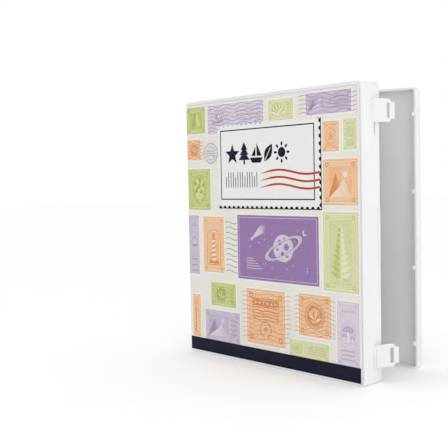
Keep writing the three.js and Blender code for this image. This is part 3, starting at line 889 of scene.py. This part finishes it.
MOTIFS = {
    "star": motif_star,
    "fern": motif_fern,
    "hills": motif_hills,
    "boat": motif_boat,
    "tower": motif_tower,
    "flower": motif_flower,
    "shell": motif_shell,
    "rosette": motif_rosette,
    "bird": motif_bird,
    "planet": motif_planet,
    "mushroom": motif_mushroom,
    "bars": motif_bars,
}
FULL_HEIGHT = ("fern", "tower", "bars")  # motifs that fill a tall stamp by themselves
IN_OVAL = ("star", "flower", "bird", "shell", "mushroom", "boat")
IN_FRAME = ("hills", "fern")
STAMP_MARGIN = 1.9
SMALL_STAMP = 13  # a stamp narrower than this has no frame
ENGRAVING_PITCH = 1.5


def engraved(plate):
    """Fine pale lines across a block, each swelling towards its middle."""
    count = int(plate.h / ENGRAVING_PITCH)
    for i in range(1, count):
        ripple = 0.6 + 0.4 * math.sin(i * 1.7)
        swell = [0.18 + 0.22 * math.sin(math.pi * k / 6) * ripple for k in range(7)]
        line = plate.shape(*((k / 6, i / count) for k in range(7)))
        plate.pale(2.5, ribbon(line, [ENGRAVING_PITCH * share for share in swell]))


def corner_pieces(plate, small):
    for y in (plate.y0, plate.y1):
        for x in (plate.x0, plate.x1):
            plate.deep(3.4, circle(x, y, small * 0.05, 14))
            plate.pale(3.8, star(x, y, small * 0.04, small * 0.015, 4))


def with_footing(plate, small):
    """Rules under a tall stamp's motif and stars over it. Gives the plate that is left."""
    room = plate.h - 1.25 * plate.w
    for i in range(3):
        y = plate.y0 + small * 0.1 + room * 0.14 * i
        ends = [(plate.x0 + small * 0.1, y), (plate.x1 - small * 0.1, y)]
        plate.deep(3.4, ribbon(ends, min(1.1, room * 0.06)))
    for i in range(5):
        x = plate.x0 + plate.w * (0.18 + 0.16 * i)
        plate.deep(3.4, star(x, plate.y1 - room * 0.2, small * 0.055, small * 0.024, 5))
    return plate.part(plate.x0, plate.y0 + room * 0.55, plate.x1, plate.y1 - room * 0.45)


def with_waves_beside(plate, small):
    """Waves at the right of a wide stamp's motif. Gives the plate that is left."""
    room = plate.w - 1.35 * plate.h
    start, stop = plate.x1 - room * 0.8, plate.x1 - 0.6
    for i in range(4):
        y = plate.y0 + plate.h * (0.2 + 0.2 * i)
        plate.deep(3.4, wave(start, stop, y, small * 0.02, room * 0.5, small * 0.03, i))
    return plate.part(plate.x0, plate.y0, plate.x1 - room, plate.y1)


def with_ground(plate, motif, small):
    """A plain oval or rectangle behind some motifs. Gives the plate inside it."""
    if motif in IN_OVAL:
        rx, ry = plate.w * 0.53, plate.h * 0.53
        plate.plain(2.9, ellipse(plate.x, plate.y, rx, ry))
        plate.pale(3.2, *oval_ring(plate.x, plate.y, (rx, ry), (rx - 0.6, ry - 0.6)))
        return plate.shrunk(small * 0.06)
    if motif in IN_FRAME:
        plate.plain(2.9, rect(*plate.box))
        plate.pale(3.2, *frame_of(*plate.box, 0.5))
        return plate.shrunk(0.8)
    return plate


def stamp(press, x0, y0, x1, y1, tone, motif):
    """A stamp: perforated margin, block of colour with engraved lines, frame, corner pieces and motif."""
    block = Plate(press, tone, x0, y0, x1, y1)
    margin = block.shrunk(-STAMP_MARGIN)
    low_x, low_y, high_x, high_y = press.limits
    low = max(margin.x0, low_x), max(margin.y0, low_y)
    high = min(margin.x1, high_x), min(margin.y1, high_y)
    press.add("margin", 1, perforated(*low, *high))
    block.plain(2, rect(*block.box))
    small = min(block.w, block.h)
    if motif != "planet":
        engraved(block.shrunk(1.2))
    if small < SMALL_STAMP:
        side, end = small * 0.12, small * 0.2
        MOTIFS[motif](block.part(x0 + side, y0 + end, x1 - side, y1 - end))
        return
    block.pale(3, *frame_of(*block.shrunk(0.9 + small * 0.02).box, 0.55))
    inner = block.shrunk(small * 0.12)
    if motif != "planet":
        corner_pieces(inner, small)
        if block.h > 1.35 * block.w and motif not in FULL_HEIGHT:
            inner = with_footing(inner, small)
        elif block.w > 1.5 * block.h:
            inner = with_waves_beside(inner, small)
        else:
            inner = inner.shrunk(small * 0.03)
        inner = with_ground(inner, motif, small)
    MOTIFS[motif](inner)


CANCEL_LEVEL = 6.8


def cancel(press, ink_name, x0, x1, y0, lines, pitch=4.0, width=0.7, length=26.0):
    """The wavy killer bars of a postmark."""
    for i in range(lines):
        bar = wave(x0, x1, y0 + i * pitch, 1.3, length, width, phase=0.5 * (i % 2))
        press.add(ink_name, CANCEL_LEVEL, bar)


def postmark(press, ink_name, x, y, r):
    """Two rings with rays between them and three bars inside."""
    press.add(ink_name, CANCEL_LEVEL, *annulus(x, y, r, r - 0.7))
    press.add(ink_name, CANCEL_LEVEL, *annulus(x, y, r * 0.62, r * 0.62 - 0.5))
    for ray in rays(x, y, r * 0.68, r * 0.9, r * 0.07, 14):
        press.add(ink_name, CANCEL_LEVEL, ray)
    for i, half in enumerate((0.5, 0.56, 0.5)):
        middle, thin = 0.22 * (i - 1), 0.03
        bar = placed(x, y, r, r, (-half, middle - thin), (half, middle + thin))
        press.add(ink_name, CANCEL_LEVEL, rect(*bar[0], *bar[1]))


# ---- title label: pictograms and bars in the place of lettering ----

BORDER_LEVEL, TITLE_LEVEL = 8.7, 9


def navy(press, *loops):
    press.add("navy", TITLE_LEVEL, *loops)


def pictogram_star(press, x, y, s):
    navy(press, star(x, y, s * 0.55, s * 0.23, 5))


def pictogram_tree(press, x, y, s):
    for k in range(3):
        base, half = y - s * 0.3 + s * 0.25 * k, s * (0.42 - 0.09 * k)
        press.add("navy", TITLE_LEVEL + 0.2 * k, [(x - half, base), (x + half, base), (x, base + s * 0.42)])
    navy(press, rect(x - s * 0.06, y - s * 0.52, x + s * 0.06, y - s * 0.3))


def pictogram_boat(press, x, y, s):
    for outline in (
        ((-0.46, -0.2), (0.46, -0.2), (0.3, -0.46), (-0.3, -0.46)),
        ((0.03, -0.12), (0.38, -0.12), (0.03, 0.52)),
        ((-0.05, -0.12), (-0.05, 0.36), (-0.34, -0.12)),
    ):
        navy(press, placed(x, y, s, s, *outline))


def pictogram_leaf(press, x, y, s):
    navy(press, lens(x - s * 0.3, y - s * 0.42, s, s * 0.5, math.radians(58)))
    press.add("white", TITLE_LEVEL + 0.6, ribbon(placed(x, y, s, s, (-0.26, -0.36), (0.12, 0.25)), s * 0.04))


def pictogram_sun(press, x, y, s):
    navy(press, circle(x, y, s * 0.25))
    for i in range(8):
        angle = math.pi * i / 4
        navy(press, lens(*polar(x, y, s * 0.3, angle), s * 0.24, s * 0.13, angle))


PICTOGRAMS = (pictogram_star, pictogram_tree, pictogram_boat, pictogram_leaf, pictogram_sun)


def label(press, x0, y0, x1, y1, pitch, bite, shadow):
    """A perforated white plate, and its shadow along the right side and the foot."""
    under = bite * 1.4
    right, foot = x1 + shadow, y0 - shadow
    corner = [(x0 + shadow, foot), (right, foot), (right, y1 - shadow), (x1 - under, y1 - shadow)]
    press.add("navy", 7.5, corner + [(x1 - under, y0 + under), (x0 + shadow, y0 + under)])
    press.add("white", 8, perforated(x0, y0, x1, y1, pitch, bite))


def front_title(press):
    label(press, 54, 175, 210, 269, pitch=7.4, bite=2.3, shadow=1.0)
    press.add("navy", BORDER_LEVEL, *frame_of(59, 184, 202, 263, 1.3))
    for i, draw in enumerate(PICTOGRAMS):
        draw(press, 79 + 19.2 * i, 235, 22)
    for i in range(14):
        x, y, tall = 68 + 3.8 * i, 198, 17 if i % 4 else 12
        navy(press, rect(x, y, x + 1, y + tall))
    steps = 30
    swell = [0.5 + 1.7 * min(k / 6, 1.0) for k in range(steps + 1)]
    rise = [2.6 * math.sin(2 * math.pi * (k / steps - 0.06)) for k in range(steps + 1)]
    for i in range(3):
        points = [(124 + 85 * k / steps, 198.5 + 7.6 * i + rise[k]) for k in range(steps + 1)]
        press.add("red", TITLE_LEVEL + 0.6, ribbon(points, swell))


def spine_title(press):
    label(press, 6.5, 174, 34.5, 266, pitch=3.6, bite=1.1, shadow=0.6)
    press.add("navy", BORDER_LEVEL, *frame_of(9.5, 178, 31.5, 262, 1.0))
    for i, draw in enumerate(PICTOGRAMS):
        draw(press, 18, 254 - 12.5 * i, 11)
    for i in range(12):
        x, y, long = 26.5, 256 - 2.5 * i, 3.5 if i % 3 else 2.4
        navy(press, rect(x, y, x + long, y + 0.6))
    for i in range(3):
        points = [(24.4 + 2.1 * i + 0.5 * math.sin(k / 3), 178 + 42 * k / 20) for k in range(21)]
        press.add("red", TITLE_LEVEL + 0.6, ribbon(points, 0.8))


# ---- layout of the three sheets: blocks from their lower left to their upper right corners, in millimetres


def on_front(out):
    """Where something lies that stands out from the front cover's face."""
    return lambda s, t, more: at(s, -out - more, t)


def on_back(out):
    return lambda s, t, more: at(s, THICKNESS + out + more, t)


def on_spine(out):
    return lambda s, t, more: at(-out - more, s, t)


def front_sheet():
    press = Press("front_print", "front_cover", IN_PLACE, on_front(SHEET_OUT), SHEET_RIGHT - INK_FORE)
    left = press.left
    for block in (
        (left, 262, 33, 293, "green", "fern"),
        (38, 260, 129, 293, "mauve", "bird"),
        (137, 269, 173, 291, "moss", "shell"),
        (191, 271, 250, 293, "lavender", "hills"),
        (left, 231, 24, 255, "orange", "rosette"),
        (left, 172, 40, 220, "green", "flower"),
        (213, 233, 234, 263, "orange", "star"),
        (240, 234, 256, 264, "moss", "shell"),
        (213, 179, 257, 225, "orange", "hills"),
        (left, 95, 18, 165, "lavender", "boat"),
        (26, 99, 62, 164, "orange", "tower"),
        (85, 95, 206, 167, "purple", "planet"),
        (212, 92, 257, 172, "moss", "fern"),
        (38, 60, 80, 87, "green", "rosette"),
        (27, NAVY_TOP, 86, 54, "lavender", "hills"),
        (98, 24, 157, 85, "orange", "bars"),
        (177, 42, 221, 86, "orange", "rosette"),
        (229, NAVY_TOP, 257, 83, "mauve", "mushroom"),
        (163, NAVY_TOP, 218, 36, "moss", "star"),
        (4, NAVY_TOP + 1, 18, 70, "orange", "fern"),
    ):
        stamp(press, *block)
    cancel(press, "lavender_deep", 38, 130, 262, 8, pitch=4.2, width=0.6)
    cancel(press, "lavender_deep", 181, 257, 273, 5, pitch=4.4, width=0.6)
    cancel(press, "orange_deep", left + 1, 30, 233, 6, pitch=3.8, width=0.6, length=14)
    cancel(press, "orange_deep", 90, 165, 30, 11, pitch=5.0, width=0.5, length=34)
    cancel(press, "orange_deep", 171, 227, 45, 9, pitch=4.6, width=0.5, length=20)
    cancel(press, "lavender_deep", 65, 84, 102, 10, pitch=6.2, width=0.8, length=22)
    postmark(press, "lavender_deep", 42, 238, 12)
    front_title(press)
    press.print()


def spine_sheet():
    far = THICKNESS - HINGE_CLEAR - INK_SIDE
    press = Press("spine_print", "spine", IN_PLACE, on_spine(SHEET_OUT), far)
    near = press.left
    for block in (
        (near, 262, 36, 293, "green", "hills"),
        (near, 94, 22, 166, "lavender", "tower"),
        (near, 21, 26, 88, "orange", "mushroom"),
        (35.4, 100, far, 166, "orange", "star"),
        (30, 22, far, 88, "green", "fern"),
    ):
        stamp(press, *block)
    cancel(press, "lavender_deep", near + 1, 30, 120, 6, pitch=6.0, width=0.6, length=17)
    spine_title(press)
    press.print()


def back_sheet():
    press = Press("back_print", "back_cover", BACK_REST, on_back(SHEET_OUT), SHEET_RIGHT - INK_FORE)
    left = press.left
    for block in (
        (10, 259, 78, 293, "lavender", "hills"),
        (88, 217, 138, 292, "orange", "flower"),
        (146, 236, 172, 288, "lavender", "fern"),
        (180, 246, 256, 293, "green", "bird"),
        (14, 212, 60, 250, "green", "rosette"),
        (left, 170, 42, 204, "orange", "boat"),
        (50, 168, 78, 206, "lavender", "tower"),
        (86, 158, 140, 208, "green", "fern"),
        (148, 160, 172, 228, "orange", "tower"),
        (180, 176, 222, 238, "lavender", "planet"),
        (230, 180, 256, 238, "green", "shell"),
        (left, 124, 30, 162, "lavender", "bird"),
        (38, 100, 62, 160, "lavender", "fern"),
        (70, 108, 112, 150, "orange", "star"),
        (120, 100, 138, 150, "lavender", "boat"),
        (146, 92, 172, 152, "green", "flower"),
        (180, 92, 224, 168, "orange", "fern"),
        (232, 96, 256, 172, "lavender", "shell"),
        (left, 56, 34, 116, "green", "hills"),
        (42, 34, 66, 92, "orange", "tower"),
        (74, 30, 106, 100, "purple", "fern"),
        (114, 26, 138, 92, "green", "tower"),
        (146, 24, 200, 84, "orange", "rosette"),
        (208, 22, 256, 86, "lavender", "boat"),
    ):
        stamp(press, *block)
    cancel(press, "lavender_deep", left + 2, 62, 74, 7, pitch=5.2, width=0.8, length=22)
    cancel(press, "orange_deep", 84, 142, 240, 6, pitch=4.6, width=0.6)
    cancel(press, "lavender_pale", 75, 105, 40, 9, pitch=6.0, width=1.0, length=12)
    postmark(press, "orange_deep", 196, 160, 12)
    press.print()


def ink_over_hinges():
    """The blocks that run across a hinge line."""
    radii = (HINGE_CLEAR + SHEET_OUT + 0.03, HINGE_CLEAR + SHEET_OUT + 0.09)
    for side, tone, span in (
        ("front", "green", (262, 293)),
        ("front", "orange", (231, 255)),
        ("front", "lavender", (95, 165)),
        ("front", "navy", (SHEET_FOOT, NAVY_TOP)),
        ("back", "orange", (170, 204)),
        ("back", "lavender", (124, 162)),
        ("back", "green", (56, 116)),
        ("back", "navy", (SHEET_FOOT, NAVY_TOP)),
    ):
        name = f"{side}_hinge_{tone}_{round(span[0])}"
        hinge_wrap(name, side, HINGE_CLEAR, radii, span, INK[tone])


# ---- film: welded seams along its free edges ----


SEAM_PROFILE = ((-0.7, 0.0), (-0.45, 0.1), (0.0, 0.14), (0.45, 0.1), (0.7, 0.0))  # across, and up
SEAM_INSET = 1.3  # from a free edge of the film
SEAM_START = 0.5  # past the film's end beside a hinge


def seam(name, body, rest, runs, place):
    """Narrow raised welds, each a low rounded rib."""
    bm = bmesh.new()
    for (x0, y0), (x1, y1) in runs:
        length = math.hypot(x1 - x0, y1 - y0)
        dx, dy = (x1 - x0) / length, (y1 - y0) / length
        ends = []
        for x, y in ((x0, y0), (x1, y1)):
            ends.append([bm.verts.new(rest @ place(x - dy * a, y + dx * a, b)) for a, b in SEAM_PROFILE])
        n = len(SEAM_PROFILE)
        for k in range(n):
            bm.faces.new((ends[0][k], ends[0][(k + 1) % n], ends[1][(k + 1) % n], ends[1][k]))
        bm.faces.new(ends[0])
        bm.faces.new(ends[1][::-1])
    obj = finished(name, bm, WELD)
    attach(obj, body)


def film_seams():
    left, right = HINGE_CLEAR + SEAM_START, FILM_RIGHT - SEAM_INSET
    foot, top = FILM_FOOT + SEAM_INSET, FILM_TOP - SEAM_INSET
    runs = [((left, foot), (right, foot)), ((right, foot + 1), (right, top - 1)), ((left, top), (right, top))]
    seam("front_film_seam", "front_cover", IN_PLACE, runs, on_front(FILM_OUT))
    seam("back_film_seam", "back_cover", BACK_REST, runs, on_back(FILM_OUT))
    near, far = HINGE_CLEAR + 0.3, THICKNESS - HINGE_CLEAR - 0.3
    across = [((near, y), (far, y)) for y in (foot, top)]
    seam("spine_film_seam", "spine", IN_PLACE, across, on_spine(FILM_OUT))


# ---- rings and leaves ----

ARMS, RIVETS, LEAVES = (1, 2, 3), (1, 2, 3, 4), (1, 2, 3, 4, 5)
POCKET_ROWS = 6
POCKET_OPENING = 4.0  # between a pocket's open top and the next pocket's foot
POCKET_FILM_THICKNESS = 0.15
POCKET_WELD = 0.9  # width of a weld
POCKET_WELD_V = (-0.22, 0.25)  # faces of a weld, from the film's face on the leaf's side


def rings():
    rounded_copy("ring_base", 0.3, RINGS)
    rounded_copy("ring_bar", 0.25, RINGS)
    for i in ARMS:
        obj = rounded_copy(f"ring_arm_{i}", 0.15, RINGS)
        with_modifier(obj, "SUBSURF", levels=1, subdivision_type="CATMULL_CLARK")
        obj.data.shade_smooth()
    for i in RIVETS:
        rounded_copy(f"ring_rivet_{i}", 0.15, NYLON)


def leaf_pockets(i):
    """Six clear pockets: each a film strip welded along its foot and its two ends, open at its top."""
    node = f"leaf_{i}_pockets"
    corners = [BACK_REST.inverted() @ v.co for v in frame["nodes"][node].data.vertices]
    u = [(c.x - U_ZERO) / MM for c in corners]
    z = [c.z / MM for c in corners]
    left, right = min(u), max(u)
    face = max((c.y - V_ZERO) / MM for c in corners)  # the film's face on the leaf's side
    across_film, across_weld = (face - POCKET_FILM_THICKNESS, face), [face + v for v in POCKET_WELD_V]
    pitch = (max(z) - min(z)) / POCKET_ROWS
    film, welds = bmesh.new(), bmesh.new()
    for row in range(POCKET_ROWS):
        foot = min(z) + row * pitch
        top = foot + pitch - POCKET_OPENING
        slab(film, (left, right), across_film, (foot, top))
        slab(welds, (left, right), across_weld, (foot, foot + POCKET_WELD))
        for end in (left, right - POCKET_WELD):
            slab(welds, (end, end + POCKET_WELD), across_weld, (foot + POCKET_WELD, top))
    strips = finished(f"leaf_{i}_strips", film, POCKET_FILM)
    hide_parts(node)
    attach(strips, f"page_{i}")
    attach(finished(f"leaf_{i}_welds", welds, WELD), f"page_{i}")


def cad_materials():
    """CAD nodes whose shape stays as it is."""
    for node in ("spine_sheet", "front_sheet", "back_sheet"):
        frame["nodes"][node].data.materials[0] = CREAM
    for node in ("spine_film", "front_film", "back_film"):
        frame["nodes"][node].data.materials[0] = FILM
    for i in LEAVES:
        frame["nodes"][f"leaf_{i}"].data.materials[0] = BOARD


camera()
floor()
sky()
lamps()
cad_materials()
cases()
hinges()
front_sheet()
spine_sheet()
back_sheet()
ink_over_hinges()
film_seams()
rings()
for leaf in LEAVES:
    leaf_pockets(leaf)
